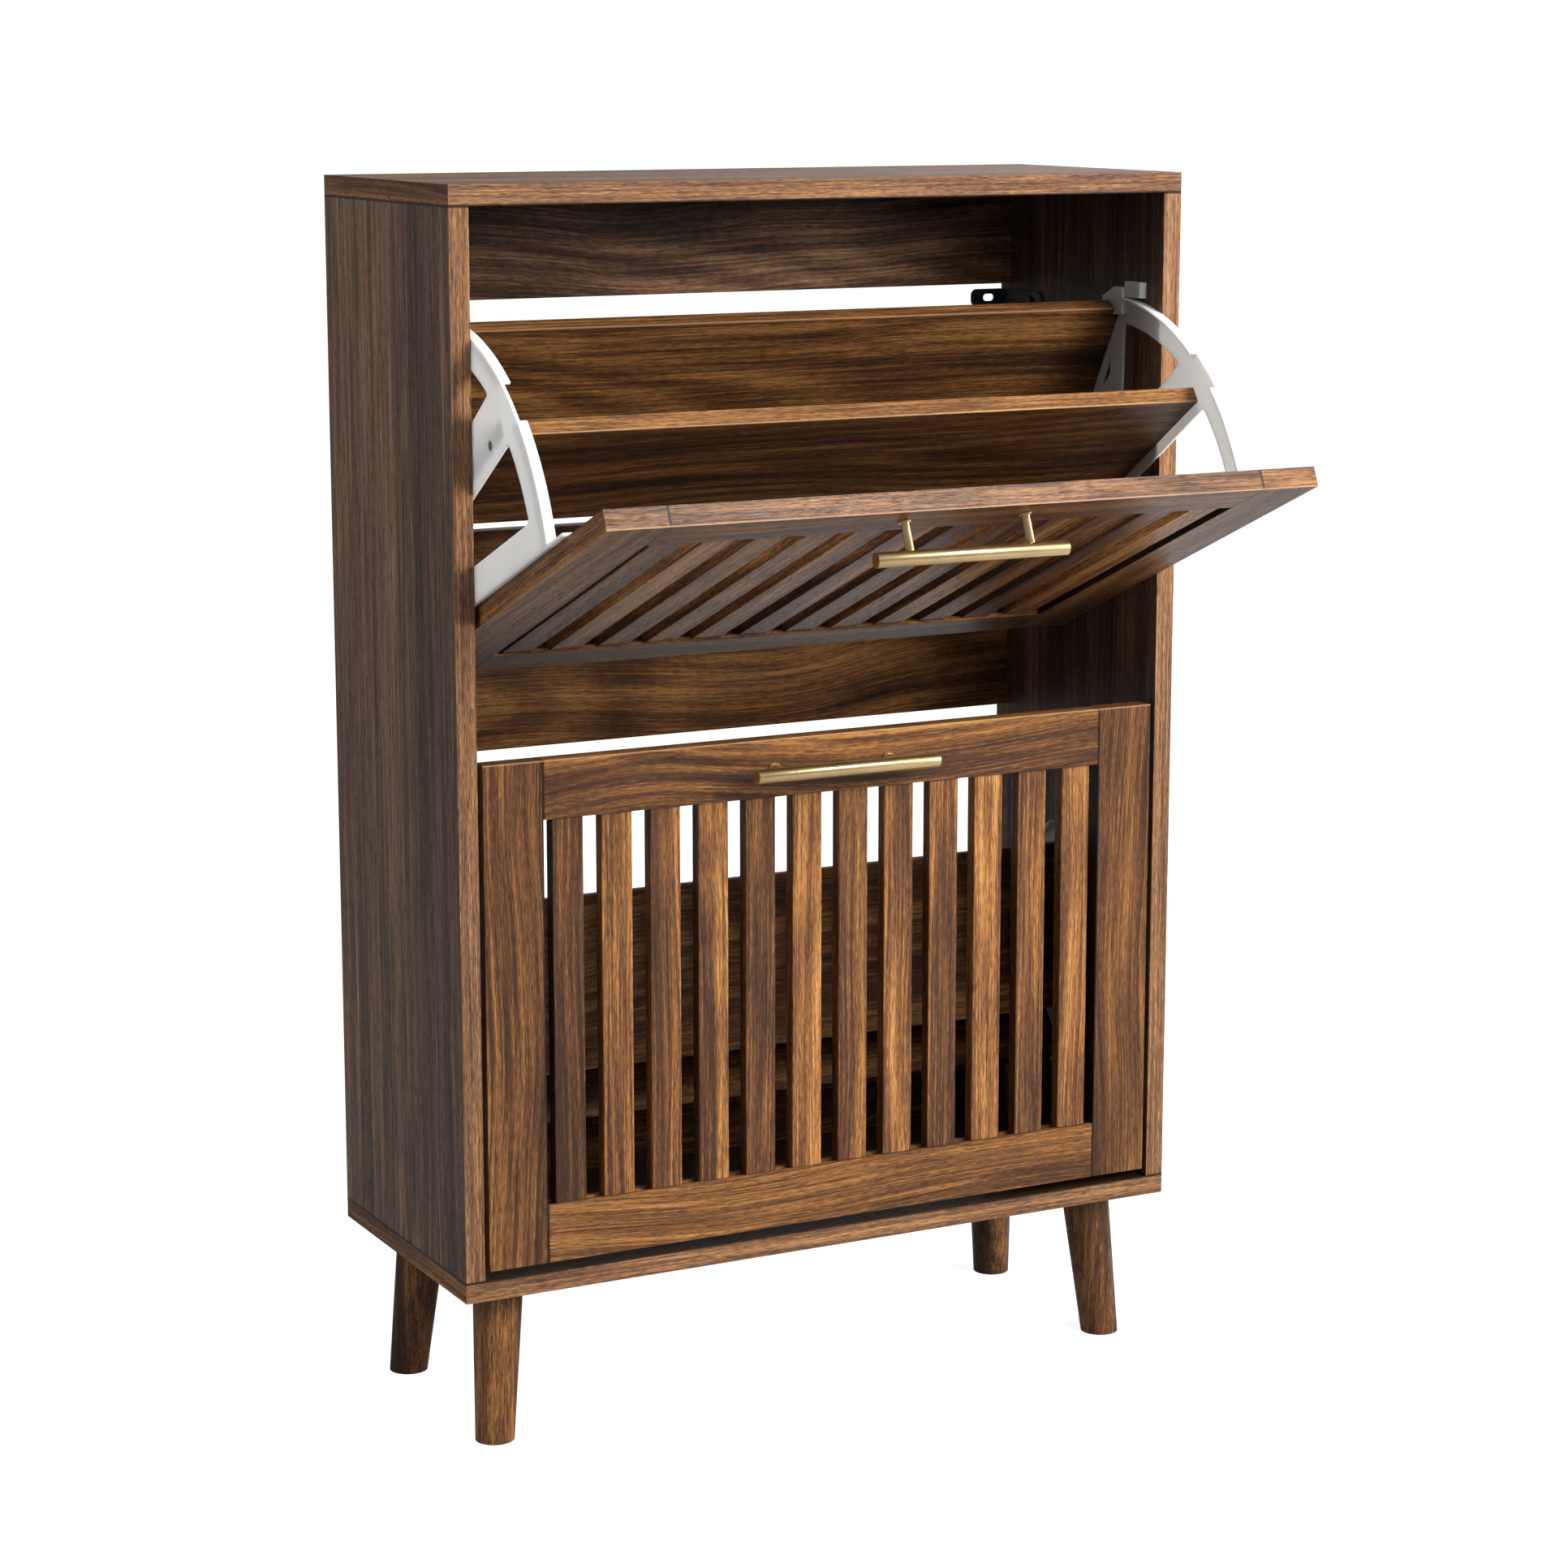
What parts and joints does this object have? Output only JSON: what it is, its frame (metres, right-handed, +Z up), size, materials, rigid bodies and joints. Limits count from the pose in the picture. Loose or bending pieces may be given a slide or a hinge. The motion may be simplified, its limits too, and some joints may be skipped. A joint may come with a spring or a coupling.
{
  "type": "shoe cabinet",
  "caption": "Slim shoe cabinet on splayed round legs, with slatted tilt-out flaps that hold shoes upright between boards.",
  "frame": {"origin": "on the floor under the middle of the whole box at rest, with the upper flap open", "axes": "+X to the right seen from the front, +Y towards the wall, +Z up"},
  "size_m": [0.6, 0.454, 0.925],
  "materials": {
    "walnut_panel": "satin walnut laminate",
    "walnut_board": "satin walnut laminate",
    "walnut_door": "satin walnut laminate",
    "leg_wood": "satin walnut stain",
    "dowel_wood": "bare beech",
    "handle_metal": "satin",
    "white_plastic": "moulded, semi-matt",
    "black_metal": "black, semi-matt",
    "plated_steel": "zinc plated"
  },
  "bodies": {
    "cabinet": {"top_panel": "walnut_panel", "bottom_panel": "walnut_panel", "left_side_panel": "walnut_panel", "right_side_panel": "walnut_panel", "top_back_rail": "walnut_board", "mid_back_rail": "walnut_board", "bottom_back_rail": "walnut_board", "panel_dowels": "dowel_wood", "rail_cams": "plated_steel", "rail_cam_bolts": "plated_steel", "front_left_leg": "leg_wood", "front_right_leg": "leg_wood", "rear_left_leg": "leg_wood", "rear_right_leg": "leg_wood", "leg_bolts": "plated_steel", "leg_inserts": "plated_steel", "left_wall_bracket": "black_metal", "right_wall_bracket": "black_metal", "wall_bracket_screws": "black_metal", "upper_stop_blocks": "white_plastic", "lower_stop_blocks": "white_plastic", "upper_pivot_pins": "plated_steel", "lower_pivot_pins": "plated_steel"},
    "upper_flap": {"upper_left_stile": "walnut_door", "upper_right_stile": "walnut_door", "upper_top_rail": "walnut_door", "upper_bottom_rail": "walnut_door", "upper_slats": "walnut_door", "upper_door_dowels": "dowel_wood", "upper_middle_board": "walnut_board", "upper_rear_board": "walnut_board", "upper_left_bracket": "white_plastic", "upper_right_bracket": "white_plastic", "upper_bracket_screws": "plated_steel", "upper_board_screws": "plated_steel", "upper_handle_bar": "handle_metal", "upper_handle_posts": "handle_metal", "upper_handle_screws": "plated_steel"},
    "lower_flap": {"lower_left_stile": "walnut_door", "lower_right_stile": "walnut_door", "lower_top_rail": "walnut_door", "lower_bottom_rail": "walnut_door", "lower_slats": "walnut_door", "lower_door_dowels": "dowel_wood", "lower_middle_board": "walnut_board", "lower_rear_board": "walnut_board", "lower_left_bracket": "white_plastic", "lower_right_bracket": "white_plastic", "lower_bracket_screws": "plated_steel", "lower_board_screws": "plated_steel", "lower_handle_bar": "handle_metal", "lower_handle_posts": "handle_metal", "lower_handle_screws": "plated_steel"}
  },
  "joints": [
    {"name": "upper_tilt", "type": "hinge", "parent": "cabinet", "child": "upper_flap", "pos_m": [0, 0.02552, 0.643], "axis": [1, 0, 0], "range_deg": [-67, 0]},
    {"name": "lower_tilt", "type": "hinge", "parent": "cabinet", "child": "lower_flap", "pos_m": [0, 0.02552, 0.259], "axis": [1, 0, 0], "range_deg": [0, 67]}
  ]
}
